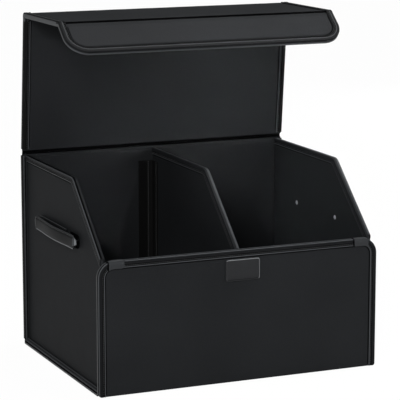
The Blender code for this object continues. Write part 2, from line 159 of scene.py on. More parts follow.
# Straps. The face runs from its rim over the stitch groove to its crown, as (across, out) points.
STRAP_PITCH = 0.0011
STRAP_STITCH = 0.0081
STRAP_END_RADIUS = 0.0075
# Painted marks on a strap: the strips along each edge with a painted highlight, the reach of a painted
# highlight and then painted shade where the strap leaves its rear turn, the shares of the front turn with a
# painted highlight and then a brighter one before painted shade, and the share of the strips that counts as
# the top
STRAP_RIM = 2
STRAP_FOLD_LINE = (0.0014, 0.0030)
TURN_GLINT_SHARES = (0.22, 0.44)
TURN_SHARE = 0.55
BOW_STEPS = 24
STRAP_FACE = (
    (STRAP_HALF_WIDTH, 0), (0.0103, 0.0006), (0.0098, 0.0010), (0.0088, 0.0011),
    (STRAP_STITCH, STRAP_HALF - STITCH_GROOVE), (0.0073, 0.0011), (0.0059, 0.00157), (0.0041, 0.00178),
    (0, 0.0019),
)

# Rivets and the magnet patch
DOME_TIP = 0.0001
RIVET_RIM = 0.0005
RIVET_RIM_HEIGHT = 0.0003
FOLD_PANEL_SETBACK = 0.0035
MAGNET_MARGIN = 0.008
MAGNET_HALF = 0.0006
PATCH_STITCH = 0.0030

# Catch plate. The steps run from its edge to its dished face: how far in, and how far below the top of its
# rim. Its sides run from the middle of one corner of its outline to the middle of the next.
LATCH_RADIUS = 0.004
LATCH_STEPS = (
    (0, 0.0008), (0.0004, 0.0002), (0.0008, 0), (0.0013, 0), (0.0017, 0.0003), (0.0030, 0.0005),
    (0.0080, 0.0006),
)
# Rings of the rim that take the painted highlight: three along the top, the middle one on the right
LATCH_RIM = (2, 3, 4)
LATCH_CORNERS = [(ARC_STEPS + 1) * corner + ARC_STEPS // 2 for corner in range(4)]
LATCH_RIGHT = range(LATCH_CORNERS[1], LATCH_CORNERS[2])
LATCH_TOP = range(LATCH_CORNERS[2], LATCH_CORNERS[3])

# Creases over the folds on the outer (1) and inner (-1) side: flat half width, half width, depth, and how
# far the painted shade at the crease's bottom reaches from the middle
HINGE_CREASES = {1: (0.0010, 0.0030, 0.0006, 0), -1: (0.0020, 0.0031, 0.0024, 0.0031)}
MID_CREASES = {1: (0.0010, 0.0034, 0.0003, 0), -1: (0.0010, 0.0034, 0.0010, 0)}
FLAP_CREASES = {1: (0.0016, 0.0036, 0.0030, 0.0031), -1: (0.0010, 0.0031, 0.0010, 0)}

# Camera fitted to the box's corners in the photo
CAMERA_PLACE = (-1.2286, -2.8396, 0.8353)
CAMERA_TURN = (math.radians(90 - 10.8092), 0, math.radians(-23.5232))
CAMERA_LENS = 184.22
CAMERA_SENSOR = 36
CAMERA_REACH = 100

# Studio. Each lamp has a name, place, aim, width, height, power in watts and spread in degrees.
FLOOR_REACH = 40.0
FLOOR_LEVEL = -0.0003
FLOOR_WHITE = 0.98
FLOOR_TONE = (0.82, 0.82, 0.82, 1)
AIR_LIGHT = 0.15
LAMPS = (
    ("overhead", (0.8, -0.1, 2.4), (0, 0, 0.3), 1.0, 1.0, 52, 180),
    ("key", (-1.5, -2.0, 1.5), (0, 0, 0.25), 0.8, 0.8, 55, 180),
    ("right_fill", (2.2, -1.6, 1.3), (0, 0, 0.25), 1.0, 1.0, 14, 180),
    ("back_fill", (2.5, 1.9, 0.3), (0, 0, 0.25), 1.2, 0.4, 60, 180),
    ("lid_light_left", (0.6, -2.4, 0.45), (0.02, 0.155, 0.40), 0.25, 0.10, 0.125, 12),
    ("lid_light_right", (1.3, -2.1, 0.45), (0.10, 0.155, 0.40), 0.25, 0.10, 0.145, 8),
    ("left_room_light", (0.35, -2.2, 1.1), (-0.13, 0.15, 0.17), 0.14, 0.10, 0.03, 5),
    ("inside_light", (-1.3, -1.7, 1.05), (0.21, 0.02, 0.255), 0.16, 0.10, 0.143, 8),
)

# Leatherettes: look, dark and light tone, least and most roughness, grains in a metre, depth of the grain and
# specular level
LEATHERS = (
    ("leatherette", (0.0090, 0.0098, 0.0108), (0.0150, 0.0160, 0.0174),
     (0.62, 0.76), 820, 0.00022, 0.06),
    # Painted light: a lighter copy of the leatherette for the lid's flap, which faces the light
    ("flap", (0.0109, 0.0117, 0.0128), (0.0180, 0.0191, 0.0207),
     (0.62, 0.76), 820, 0.00022, 0.06),
    ("binding", (0.0085, 0.0091, 0.0100), (0.0135, 0.0143, 0.0155),
     (0.50, 0.60), 1150, 0.00014, 0.04),
    ("lid_binding", (0.0050, 0.0054, 0.0060), (0.0085, 0.0090, 0.0098),
     (0.50, 0.60), 1150, 0.00014, 0.04),
    ("dark_binding", (0.0036, 0.0036, 0.0036), (0.0062, 0.0062, 0.0063),
     (0.50, 0.60), 1150, 0.00014, 0.05),
    ("flange", (0.0036, 0.0036, 0.0036), (0.0062, 0.0062, 0.0063),
     (0.55, 0.68), 900, 0.00020, 0.05),
    ("tab", (0.0210, 0.0223, 0.0240), (0.0320, 0.0340, 0.0364),
     (0.44, 0.54), 1150, 0.00016, 0.06),
    ("strap", (0.0040, 0.0043, 0.0048), (0.0070, 0.0075, 0.0082),
     (0.46, 0.58), 900, 0.00014, 0.05),
    # Painted highlight: a lighter, glossier copy of the tape for tape corners and lips, strap rims, the rear
    # turn of a strap and the foot piping
    ("painted_highlight", (0.0370, 0.0392, 0.0420), (0.0540, 0.0572, 0.0612),
     (0.36, 0.46), 1150, 0.00008, 0.06),
    # Brighter painted highlight for a strap's lower rim along its grip and the upper part of its front turn
    ("painted_glint", (0.120, 0.126, 0.134), (0.170, 0.178, 0.188),
     (0.32, 0.42), 1150, 0.00008, 0.06),
    # Painted shade: a near-black copy of the leatherette for stitch grooves, fold creases, the strip beside a
    # tape's lip, the left end of each corner tab and where a strap folds back under itself
    ("painted_shade", (0.0010, 0.0010, 0.0011), (0.0026, 0.0027, 0.0029),
     (0.80, 0.90), 900, 0.00020, 0.0),
)
TONE_STOPS = (0.25, 0.75)
SOFT_DETAIL = 2
GRAIN_BEND_SCALE = 300
GRAIN_BEND = 0.0012
GRAIN_IN_TONE = 0.35
GRAIN_STRENGTH = 0.45
PATCHES_IN_GLOSS = 0.4
BROAD_SCALE = 7
PATCH_SCALE = 42
CREASE_SCALE = 0.32
CREASE_PATTERN = (5, 0.6)
CREASE_STRENGTH = 0.35
CREASE_DEPTH = 1.6

# Thread
THREAD_TONES = ((0.030, 0.031, 0.033), (0.046, 0.048, 0.050))
THREAD_GLOSS = (0.50, 0.70)
THREAD_PATCH_SCALE = 120
THREAD_RELIEF = (0.5, 0.0001)
TWIST_SCALE = 420
TWIST_UNEVEN = 1.5

# Surfaces with one fine pattern: look, dark and light tone, pattern, least and most roughness, strength and
# depth of the relief, how metallic, specular level, and the scale of the gloss where it has its own pattern.
# A pattern is how much it is squeezed each way, its scale, its detail and its roughness.
FIBRES = ((1, 6, 6), 160, 6, 0.7)
LOOPS = ((1, 1, 1), 1400, 4, 0.7)
DRAWN_LINES = ((1, 1, 40), 90, 5, 0.7)
SURFACES = (
    ("lining_board", (0.0080, 0.0080, 0.0085), (0.0140, 0.0140, 0.0145),
     FIBRES, (0.66, 0.80), (0.4, 0.0002), 0, 0.25, 25),
    ("loop_tape", (0.0010, 0.0010, 0.0010), (0.0040, 0.0040, 0.0042),
     LOOPS, (0.85, 1.0), (0.8, 0.0005), 0, 0.10, None),
    ("polished_metal", (0.62, 0.62, 0.63), (0.80, 0.80, 0.81),
     DRAWN_LINES, (0.34, 0.46), (0.08, 0.0001), 1, 0.5, None),
    ("dark_metal", (0.0150, 0.0159, 0.0176), (0.0234, 0.0243, 0.0260),
     DRAWN_LINES, (0.28, 0.40), (0.08, 0.0001), 0.75, 0.5, None),
    # Painted highlight: a brighter copy of the plate's dark metal for the top and right of the latch's rim
    ("bright_rim", (0.20, 0.21, 0.22), (0.30, 0.31, 0.32),
     DRAWN_LINES, (0.24, 0.34), (0.08, 0.0001), 1, 0.5, None),
)


def add(tree, kind, values=None, **settings):
    """New node with its settings, and with its inputs set or linked."""
    node = tree.nodes.new(kind)
    for name, value in settings.items():
        setattr(node, name, value)
    for name, value in (values or {}).items():
        if isinstance(value, bpy.types.NodeSocket):
            tree.links.new(value, node.inputs[name])
        else:
            node.inputs[name].default_value = value
    return node


def new_finish(name):
    """Material, its node tree, its shader and the object's own coordinates."""
    material = bpy.data.materials.new(name)
    material.use_nodes = True
    tree = material.node_tree
    shader = tree.nodes["Principled BSDF"]
    where = tree.nodes.new("ShaderNodeTexCoord").outputs["Object"]
    return material, tree, shader, where


def paint(tree, shader, tones, share):
    """Colour between two tones."""
    ramp = add(tree, "ShaderNodeValToRGB", {"Fac": share})
    for stop, tone, place in zip(ramp.color_ramp.elements, tones, TONE_STOPS):
        stop.color = (*tone, 1)
        stop.position = place
    tree.links.new(ramp.outputs["Color"], shader.inputs["Base Color"])


def roughen(tree, shader, share, low, high):
    spread = add(tree, "ShaderNodeMapRange", {"Value": share, "To Min": low, "To Max": high})
    tree.links.new(spread.outputs["Result"], shader.inputs["Roughness"])


def emboss(tree, shader, height, strength, distance, under=None):
    values = {"Height": height, "Strength": strength, "Distance": distance}
    if under:
        values["Normal"] = under
    bump = add(tree, "ShaderNodeBump", values)
    tree.links.new(bump.outputs["Normal"], shader.inputs["Normal"])
    return bump.outputs["Normal"]


def cloud(tree, where, scale, detail=3, roughness=0.5):
    values = {"Vector": where, "Scale": scale, "Detail": detail, "Roughness": roughness}
    return add(tree, "ShaderNodeTexNoise", values).outputs["Fac"]


def blend_of(tree, share, first, second):
    return add(tree, "ShaderNodeMix", {0: share, 2: first, 3: second}).outputs[0]


def grained(name, dark, light, gloss, grain, depth, specular):
    """Leatherette: pebbled grain over soft creases, with a slowly changing gloss."""
    material, tree, shader, where = new_finish(name)
    bent = add(tree, "ShaderNodeVectorMath", {0: where, 1: noise_offset(tree, where)}, operation="ADD")
    cells = add(tree, "ShaderNodeTexVoronoi", {"Vector": bent.outputs["Vector"], "Scale": grain},
                feature="SMOOTH_F1").outputs["Distance"]
    creases = cloud(tree, where, grain * CREASE_SCALE, *CREASE_PATTERN)
    broad = cloud(tree, where, BROAD_SCALE, SOFT_DETAIL)
    paint(tree, shader, (dark, light), blend_of(tree, GRAIN_IN_TONE, broad, cells))
    roughen(tree, shader, blend_of(tree, PATCHES_IN_GLOSS, broad, cloud(tree, where, PATCH_SCALE)), *gloss)
    under = emboss(tree, shader, creases, CREASE_STRENGTH, depth * CREASE_DEPTH)
    emboss(tree, shader, cells, GRAIN_STRENGTH, depth, under)
    shader.inputs["Specular IOR Level"].default_value = specular
    return material


def noise_offset(tree, where):
    """Small random shift that makes the grain's cells uneven."""
    values = {"Vector": where, "Scale": GRAIN_BEND_SCALE, "Detail": SOFT_DETAIL}
    wobble = add(tree, "ShaderNodeTexNoise", values).outputs["Color"]
    return add(tree, "ShaderNodeVectorMath", {0: wobble, 3: GRAIN_BEND}, operation="SCALE").outputs["Vector"]


def threaded(name):
    """Sewing thread: matt, with the twist of its plies."""
    material, tree, shader, where = new_finish(name)
    values = {"Vector": where, "Scale": TWIST_SCALE, "Distortion": TWIST_UNEVEN}
    twist = add(tree, "ShaderNodeTexWave", values, bands_direction="DIAGONAL").outputs["Fac"]
    paint(tree, shader, THREAD_TONES, twist)
    roughen(tree, shader, cloud(tree, where, THREAD_PATCH_SCALE), *THREAD_GLOSS)
    emboss(tree, shader, twist, *THREAD_RELIEF)
    return material


def patterned(name, dark, light, pattern, gloss, relief, metallic, specular, gloss_scale):
    """Surface with one fine pattern: short fibres, a pile or the drawn lines of metal."""
    material, tree, shader, where = new_finish(name)
    squeeze, *finer = pattern
    squeezed = add(tree, "ShaderNodeMapping", {"Vector": where, "Scale": squeeze}).outputs["Vector"]
    marks = cloud(tree, squeezed, *finer)
    paint(tree, shader, (dark, light), marks)
    roughen(tree, shader, cloud(tree, where, gloss_scale) if gloss_scale else marks, *gloss)
    emboss(tree, shader, marks, *relief)
    shader.inputs["Metallic"].default_value = metallic
    shader.inputs["Specular IOR Level"].default_value = specular
    return material


LOOKS = {look: grained(look + "_leather", *finish) for look, *finish in LEATHERS}
LOOKS |= {look: patterned(look, *finish) for look, *finish in SURFACES}
LOOKS["thread"] = threaded("thread")

# Looks of a piece, in the order of the numbers below
# The second look of each list is painted shade, the third a painted highlight, and a strap's fourth a
# brighter painted highlight
TAPE_LOOKS = ("binding", "painted_shade", "painted_highlight")
LID_TAPE_LOOKS = ("lid_binding", "painted_shade", "painted_highlight")
DARK_TAPE_LOOKS = ("dark_binding", "painted_shade", "painted_highlight")
STRAP_LOOKS = ("strap", "painted_shade", "painted_highlight", "painted_glint")
FLAT, PAINTED_SHADE, PAINTED_HIGHLIGHT, PAINTED_GLINT = range(4)

# Numbers along a tape's section: lip, shoulder of the stitch groove, front corner, nose and back corner
# A strip with the lighter look carries a painted highlight and one with the near-black look painted shade,
# set where the light falls, so the left and right sides differ
PLAIN_EDGE = (PAINTED_HIGHLIGHT, FLAT, FLAT, FLAT, FLAT)
FRONT_EDGE = (PAINTED_HIGHLIGHT, FLAT, PAINTED_HIGHLIGHT, PAINTED_SHADE, PAINTED_HIGHLIGHT)
LEFT_EDGE = (PAINTED_HIGHLIGHT, FLAT, PAINTED_HIGHLIGHT, PAINTED_SHADE, FLAT)
RIGHT_EDGE = (PAINTED_HIGHLIGHT, FLAT, PAINTED_HIGHLIGHT, PAINTED_HIGHLIGHT, FLAT)
LID_EDGE = (FLAT, PAINTED_HIGHLIGHT, FLAT, PAINTED_HIGHLIGHT, PAINTED_HIGHLIGHT)
FLAP_EDGE = (FLAT, PAINTED_HIGHLIGHT, FLAT, FLAT, PAINTED_HIGHLIGHT)
SIDES = (("left", -1, LEFT_EDGE), ("right", 1, RIGHT_EDGE))


def hinge_place(name):
    return next(Vector(joint["pos_m"]) for joint in frame["joints"] if joint["name"] == name)


HINGE = hinge_place("lid_hinge")
MID_FOLD = hinge_place("lid_mid_fold")
FLAP_FOLD = hinge_place("lid_flap_fold")
LID_REAR_LENGTH = (MID_FOLD - HINGE).length
LID_MID_LENGTH = (FLAP_FOLD - MID_FOLD).length

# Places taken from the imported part
FRONT_LOW, FRONT_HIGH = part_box("front_binding")
FRONT_MID_Y = (FRONT_LOW.y + FRONT_HIGH.y) / 2
HALF_WIDTH = FRONT_HIGH.x
FRONT_HEIGHT = FRONT_HIGH.z
FRONT_TOTAL_HALF = FRONT_HALF + COVER
SIDE_LOW, SIDE_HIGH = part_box("right_side_panel")
SIDE_MID_X = (SIDE_LOW.x + SIDE_HIGH.x) / 2
SIDE_OUTER_X = SIDE_HIGH.x
SIDE_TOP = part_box("right_side_binding")[1].z
LID_EDGE_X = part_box("lid_flap_binding")[1].x


def corners(*points):
    return [Vector(point) for point in points]


def rectangle(left, bottom, right, top):
    """Edges in order: bottom, right, top, left."""
    return corners((left, bottom), (right, bottom), (right, top), (left, top))


def inset(points, amounts):
    """Move each edge of a counter-clockwise outline inwards by its own amount."""
    normals = []
    for start, end in zip(points, points[1:] + points[:1]):
        along = (end - start).normalized()
        normals.append(Vector((-along.y, along.x)))
    moved = []
    for index, corner in enumerate(points):
        before, after = normals[index - 1], normals[index]
        first, second = amounts[index - 1], amounts[index]
        spread = before.x * after.y - before.y * after.x
        shift_x = (first * after.y - second * before.y) / spread
        shift_y = (second * before.x - first * after.x) / spread
        moved.append(corner + Vector((shift_x, shift_y)))
    return moved


def corner_arc(points, index, radius):
    """The corner's own point, or an arc of a fixed number of points in its place."""
    corner = points[index]
    if radius <= 0:
        return [corner]
    before = (points[index - 1] - corner).normalized()
    after = (points[(index + 1) % len(points)] - corner).normalized()
    half = before.angle(after) / 2
    centre = corner + (before + after).normalized() * radius / math.sin(half)
    start = corner + before * radius / math.tan(half) - centre
    end = corner + after * radius / math.tan(half) - centre
    first = math.atan2(start.y, start.x)
    sweep = math.remainder(math.atan2(end.y, end.x) - first, math.tau)
    angles = spaced(first, first + sweep, ARC_STEPS)
    return [centre + Vector((math.cos(angle), math.sin(angle))) * radius for angle in angles]


def arcs(points, radii, distance):
    """Corner points of an outline that was moved in by a distance, one list for each corner."""
    smaller = [max(radius - distance, SHARPEST) if radius > 0 else 0 for radius in radii]
    return [corner_arc(points, index, radius) for index, radius in enumerate(smaller)]


def spaced(low, high, count):
    """Evenly spaced values from low to high."""
    return [low + (high - low) * step / count for step in range(count + 1)]


def round_about(count):
    """Evenly spaced angles of a full turn."""
    return spaced(0, math.tau, count)[:-1]


def flat(lists):
    return [item for part in lists for item in part]


def resample(line, pitch):
    """Points at an even pitch along a line, each with the line's direction there."""
    lengths = [(after - before).length for before, after in zip(line, line[1:])]
    count = max(int(sum(lengths) / pitch), 1)
    step = sum(lengths) / count
    found = []
    target, passed = step / 2, 0
    for before, after, length in zip(line, line[1:], lengths):
        while len(found) < count and target <= passed + length:
            found.append((before.lerp(after, (target - passed) / length), (after - before).normalized()))
            target += step
        passed += length
    return found


def smooth(share):
    share = min(max(share, 0), 1)
    return share * share * (3 - 2 * share)


def between(value, knots):
    """Straight-line value between (place, value) knots."""
    for (low, first), (high, second) in zip(knots, knots[1:]):
        if value <= high:
            return first + (second - first) * max(value - low, 0) / (high - low)
    return knots[-1][1]


def facing(middle_y, sign):
    """Board that stands across the box. Out is to the front if sign is -1."""
    return lambda across, along, out: Vector((across, middle_y + sign * out, along))


def beside(middle_x, sign):
    """Board that stands front to back. Out is away from the middle on that side."""
    return lambda across, along, out: Vector((middle_x + sign * out, across, along))


def lying(middle_z):
    return lambda across, along, out: Vector((across, along, middle_z + out))


def leaning(pivot, angle):
    """Section of the lid. Along starts at its pivot and out is to its outer face."""
    along_way = Vector((0, -math.sin(angle), math.cos(angle)))
    out_way = Vector((0, math.cos(angle), math.sin(angle)))
    return lambda across, along, out: pivot + Vector((across, 0, 0)) + along_way * along + out_way * out


def folding(pivot, before, bend):
    """Strip across a fold. Along is zero on the fold's axis, and the bend is spread over its reach."""
    def place(across, along, out):
        share = smooth((along + FOLD_BEND_REACH) / (2 * FOLD_BEND_REACH))
        return leaning(pivot, before + bend * share)(across, along, out)
    return place


def across_fold(place, lower, upper):
    """The two bodies beside a fold and where its bend starts and ends."""
    return lower, upper, place(0, -FOLD_BEND_REACH, 0), place(0, FOLD_BEND_REACH, 0)


def link(name, data):
    """New object in the scene."""
    thing = bpy.data.objects.new(name, data)
    bpy.context.scene.collection.objects.link(thing)
    return thing


def link_mesh(name, work):
    mesh = bpy.data.meshes.new(name)
    work.to_mesh(mesh)
    work.free()
    return link(name, mesh)


def as_piece(name, work, place, looks, carrier, sharp=SOFT_SHARP):
    """Map a flat mesh to its place and make it a finished piece, parented to a body; a piece over a fold
    stays where it is put.
    """
    for vertex in work.verts:
        vertex.co = place(*vertex.co)
    bmesh.ops.recalc_face_normals(work, faces=work.faces)
    piece = link_mesh(name, work)
    piece.data.shade_smooth()
    piece.data.set_sharp_from_angle(angle=math.radians(sharp))
    for look in looks:
        piece.data.materials.append(LOOKS[look])
    if isinstance(carrier, str):
        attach(piece, carrier)
    else:
        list(carrier)
        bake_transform(piece)
    return piece


def stand_for(piece, slot, *nodes):
    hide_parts(*nodes)
    return piece


def all_flat(*_):
    return FLAT


def loft(lines, look_at=all_flat):
    """Closed skin through lines that run side by side round a section, capped at both ends.

    Look_at gives the material number of a face from its strip round the section and its station along it.
    """
    work = bmesh.new()
    rows = [[work.verts.new(point) for point in line] for line in lines]
    for number, (row, other) in enumerate(zip(rows, rows[1:] + rows[:1])):
        for index in range(len(row) - 1):
            face = work.faces.new((row[index], row[index + 1], other[index + 1], other[index]))
            face.material_index = look_at(number, index)
    work.faces.new([row[0] for row in rows])
    work.faces.new([row[-1] for row in reversed(rows)])
    return work


def join_rings(work, rings, look_at=all_flat):
    """Skin between closed rings of points that follow one another. It gives the rings of vertices."""
    rows = [[work.verts.new(point) for point in ring] for ring in rings]
    for step, (row, other) in enumerate(zip(rows, rows[1:])):
        for index in range(len(row)):
            after = (index + 1) % len(row)
            face = work.faces.new((row[index], row[after], other[after], other[index]))
            face.material_index = look_at(step, index)
    return rows


def close_rings(work, rings, look_at=all_flat):
    """Skin between rings, capped at both ends."""
    rows = join_rings(work, rings, look_at)
    work.faces.new(rows[0])
    work.faces.new(rows[-1][::-1])


def turned(profile):
    """Closed skin turned about the out axis from (radius, out) points."""
    work = bmesh.new()
    rings = [[(radius * math.cos(way), radius * math.sin(way), out) for way in round_about(TURN_STEPS)]
             for radius, out in profile]
    close_rings(work, rings)
    return work


def grid_faces(work):
    return [face for face in work.faces if face.material_index == GRID_TAG]


def fill(work, ring, upside):
    """Close a ring with a face that is cut into a grid. Its inner points swell a little."""
    face = work.faces.new(ring if upside else ring[::-1])
    face.material_index = GRID_TAG
    for axis, way in enumerate((Vector((1, 0, 0)), Vector((0, 1, 0)))):
        places = [vertex.co[axis] for vertex in ring]
        low, high = min(places), max(places)
        for cut in spaced(low, high, max(round((high - low) / GRID_PITCH), 1))[1:-1]:
            parts = {item for part in grid_faces(work) for item in (part, *part.edges, *part.verts)}
            bmesh.ops.bisect_plane(work, geom=list(parts), plane_co=way * cut, plane_no=way)
    faces = grid_faces(work)
    inner = {vertex for part in faces for vertex in part.verts
             if all(other.material_index == GRID_TAG for other in vertex.link_faces)}
    for vertex in inner:
        vertex.co.z += SWELL_SIZE * noise.noise(vertex.co * SWELL_SCALE)
    for part in faces:
        part.material_index = FLAT


# Steps of a cover from the rim of its board to its face: inset under a tape, inset at a free edge,
# and how far it lies below the face. The lap of the tape is added to the steps after the second.
COVER_STEPS = (
    (COVER, 0, 0.0011),
    (COVER + 0.0006, 0.0004, 0.0006),
    (-0.002, 0.0011, 0.0003),
    (0.0003, 0.0018, 0.0006),
    (0.0018, 0.0028, 0.00025),
    (0.0034, 0.0042, 0.00005),
    (0.0050, 0.0060, 0.0),
)
# Steps whose strip, just beside a tape's lip, takes painted shade
SHADED_LIP_STEPS = {3, 4}


def cover_steps(lap):
    """(inset at a bound edge, inset at a free edge, drop) for each step."""
    rest = [(lap + bound, free, drop) for bound, free, drop in COVER_STEPS[2:]]
    return list(COVER_STEPS[:2]) + rest


def ring_kinds(radii, kinds):
    """Kind of edge at each segment of a ring."""
    found = []
    for radius, kind in zip(radii, kinds):
        found += [kind] * (ARC_STEPS + 1 if radius > 0 else 1)
    return found


def covered_board(outline, radii, kinds, half, lap):
    """Board with a soft cover. Each edge is bound by a tape, free, or runs into a fold."""
    faces = []
    for bound, free, drop in cover_steps(lap):
        amounts = {"bound": bound, "free": free, "fold": 0}
        moved = inset(outline, [amounts[kind] for kind in kinds])
        faces.append((flat(arcs(moved, radii, bound)), half - drop))
    steps = [*reversed(range(len(faces))), *range(len(faces))]
    segments = ring_kinds(radii, kinds)

    def look_at(step, index):
        # The strip beside a tape's lip takes painted shade
        shaded_by_lip = set(steps[step:step + 2]) == SHADED_LIP_STEPS and segments[index] == "bound"
        return PAINTED_SHADE if shaded_by_lip else FLAT

    work = bmesh.new()
    levels = faces[::-1] + [(ring, -out) for ring, out in faces]
    rows = join_rings(work, [[(*point, out) for point in ring] for ring, out in levels], look_at)
    fill(work, rows[0], True)
    fill(work, rows[-1], False)
    return work


def nose_quarter(half):
    """Rounded corner of a tape's section, from its face to its edge, as (inset, out) points."""
    middle = half - NOSE_RADIUS
    return [(NOSE_RADIUS * (1 - math.sin(angle)), middle + NOSE_RADIUS * math.cos(angle))
            for angle in spaced(0, math.pi / 2, CORNER_STEPS)]


def tape_face(half, lap, lip, shoulder, corner):
    """One face of a tape's section, from its lip over the stitch groove to the corner at the edge.

    Each point is (inset, out, number), where the number is that of the look of the strip after it.
    """
    points = [
        (lap, half - TAPE, FLAT),
        (lap, half - LIP_RADIUS, lip),
        (lap - LIP_RADIUS / 3, half - LIP_RADIUS / 4, lip),
        (lap - LIP_RADIUS, half, lip),
    ]
    if lap > BACK_LAP:
        stitch = lap - STITCH_FROM_LIP
        # The stitch groove takes painted shade
        points += [(stitch + GROOVE_HALF * side, half - STITCH_GROOVE * depth, PAINTED_SHADE)
                   for side, depth in GROOVE_SHAPE]
        points += [(stitch - GROOVE_HALF, half, shoulder), (stitch - GROOVE_HALF - SHOULDER, half, FLAT)]
    return points + [(distance, out, corner) for distance, out in nose_quarter(half)]


def tape_section(half, lap, edge_looks, one_sided):
    """Section of an edge tape: two faces, the edge between them, and the slot for the board."""
    inner = half - TAPE
    lip, shoulder, front_corner, nose, back_corner = edge_looks
    front = tape_face(half, lap, lip, shoulder, front_corner)
    front[-1] = (*front[-1][:2], nose)
    if one_sided:
        foot = CLEARANCE - BASE_HALF
        return front + [(0, 0, back_corner), (0, foot + TAPE, back_corner), (TAPE / 2, foot, FLAT),
                        (2 * TAPE, foot, FLAT), (2 * TAPE, inner, FLAT)]
    face = tape_face(half, lap, lip, shoulder, back_corner)
    numbers = [FLAT] + [number for _, _, number in face[:-1]]
    back = [(distance, -out, number) for (distance, out, _), number in zip(face, numbers)]
    slot = COVER + TAPE / 2
    return front + [(0, 0, back_corner)] + back[::-1] + [(slot, -inner, FLAT), (slot, inner, FLAT)]


def bound_line(outline, radii, bound, ends, distance):
    """Points along the bound edges at a distance from the tape's outer edge.

    Unbound edges are moved in by their end amounts, which is where the tape stops.
    """
    amounts = [distance if held else end for held, end in zip(bound, ends)]
    lists = arcs(inset(outline, amounts), radii, distance)
    count = len(outline)
    first = next(index for index in range(count) if bound[index] and not bound[index - 1])
    order = [(first + step) % count for step in range(sum(bound) + 1)]
    return flat([lists[index] for index in order])


def make_tape(name, nodes, edge, board, edge_looks, looks=TAPE_LOOKS, one_sided=False):
    """Edge tape and its stitches. The edge is (outline, radii, bound, ends)."""
    half, lap, place, body = board
    half += COVER
    section = tape_section(half, lap, edge_looks, one_sided)
    lines = [[(*point, out) for point in subdivide(bound_line(*edge, distance))]
             for distance, out, _ in section]
    work = loft(lines, lambda strip, _: section[strip][2])
    stand_for(as_piece(name + "_tape", work, place, looks, body), "binding", *nodes)
    if lap > BACK_LAP:
        line = bound_line(*edge, lap - STITCH_FROM_LIP)
        make_stitches(name, [(line, side * (half - STITCH_GROOVE), side) for side in (1, -1)], place, body)


def side_tapes(name, outline, ends, board, edge_looks, looks=TAPE_LOOKS, one_sided=False, own_nodes=True):
    """Tapes on the left and the right edge. They end where the ends say at the foot and at the top."""
    foot, top = ends
    for side, bound in (("left", (False, False, False, True)), ("right", (False, True, False, False))):
        nodes = [f"{name}_binding_{side}"] if own_nodes else []
        edge = (outline, SQUARE, bound, (foot, 0, top, 0))
        make_tape(f"{name}_{side}", nodes, edge, board, edge_looks, looks, one_sided)


def subdivide(line):
    """A line's points with the long straight parts cut in pieces, so that it can bend."""
    found = [line[0]]
    for before, after in zip(line, line[1:]):
        count = max(round((after - before).length / FOLD_PITCH), 1) if len(line) == 2 else 1
        found += [before.lerp(after, step / count) for step in range(1, count + 1)]
    return found


def add_stitch(work, centre, way, out, side):
    """One stitch: a short rounded thread that dips into the cover at both ends."""
    across = Vector((-way.y, way.x))
    rings = []
    for share, size, lift in STITCH_SHAPE:
        middle = centre + way * (share * STITCH_LENGTH / 2)
        level = out + side * lift * STITCH_RADIUS
        radius = size * STITCH_RADIUS
        rings.append([(*(middle + across * (radius * math.cos(angle))), level + radius * math.sin(angle))
                      for angle in round_about(STITCH_SIDES)])
    close_rings(work, rings)


def make_stitches(name, rows, place, body):
    """Rows of stitches. Each row is (line, height, side)."""
    work = bmesh.new()
    for line, out, side in rows:
        for centre, way in resample(line, STITCH_PITCH):
            add_stitch(work, centre, way, out, side)
    piece = as_piece(name + "_stitches", work, place, ["thread"], body)
    return piece


def make_cover(name, work, place, body, node, slot="leatherette", look=None):
    """Finished cover that stands for a CAD board."""
    return stand_for(as_piece(name, work, place, (look or slot, "painted_shade"), body), slot, node)


def make_panel(name, outline, radii, kinds, board, look="leatherette"):
    """Covered panel on a board, which is (half thickness, lap of its tapes, place, body)."""
    half, lap, place, body = board
    make_cover(name + "_cover", covered_board(outline, radii, kinds, half, lap), place, body, name + "_panel",
               look=look)


def bound_panel(name, outline, radii, kinds, foot, board, edge_looks, looks=TAPE_LOOKS, look="leatherette"):
    """Panel with one tape round its bound edges. The foot is how far from the first edge the tape starts."""
    make_panel(name, outline, radii, kinds, board, look)
    bound = [kind == "bound" for kind in kinds]
    edge = (outline, radii, bound, [foot] + [0] * (len(kinds) - 1))
    make_tape(name, [name + "_binding"], edge, board, edge_looks, looks)


def free_board(name, low, high, half, lap, place, node, slot="leatherette"):
    """Rectangular board of the box with four free edges."""
    work = covered_board(rectangle(*low, *high), SQUARE, ("free",) * 4, half, lap)
    make_cover(name, work, place, "box", node, slot)


def slab_grid(stations, rows, top, bottom, dark=(0, 0)):
    """Closed slab over a grid, with its two faces at heights given by functions of (across, along).

    Dark gives, for the top and the bottom, how far painted shade reaches from the middle.
    """
    work = bmesh.new()
    layers = []
    for height in (top, bottom):
        layers.append([[work.verts.new((x, y, height(x, y))) for y in rows] for x in stations])
    last_x, last_y = len(stations) - 1, len(rows) - 1
    for layer, reach in zip(layers, dark):
        for i in range(last_x):
            for j in range(last_y):
                face = work.faces.new((layer[i][j], layer[i + 1][j], layer[i + 1][j + 1], layer[i][j + 1]))
                face.material_index = PAINTED_SHADE if max(abs(rows[j]), abs(rows[j + 1])) <= reach else FLAT
    upper, lower = layers
    for i in range(last_x):
        for j in (0, last_y):
            work.faces.new((upper[i][j], upper[i + 1][j], lower[i + 1][j], lower[i][j]))
    for j in range(last_y):
        for i in (0, last_x):
            work.faces.new((upper[i][j], upper[i][j + 1], lower[i][j + 1], lower[i][j]))
    return work


def groove(along, crease):
    """Depth of the crease over a fold. It is flat in the middle and has soft shoulders."""
    flat_half, edge, depth, _ = crease
    return depth * (1 - smooth((abs(along) - flat_half) / (edge - flat_half)))


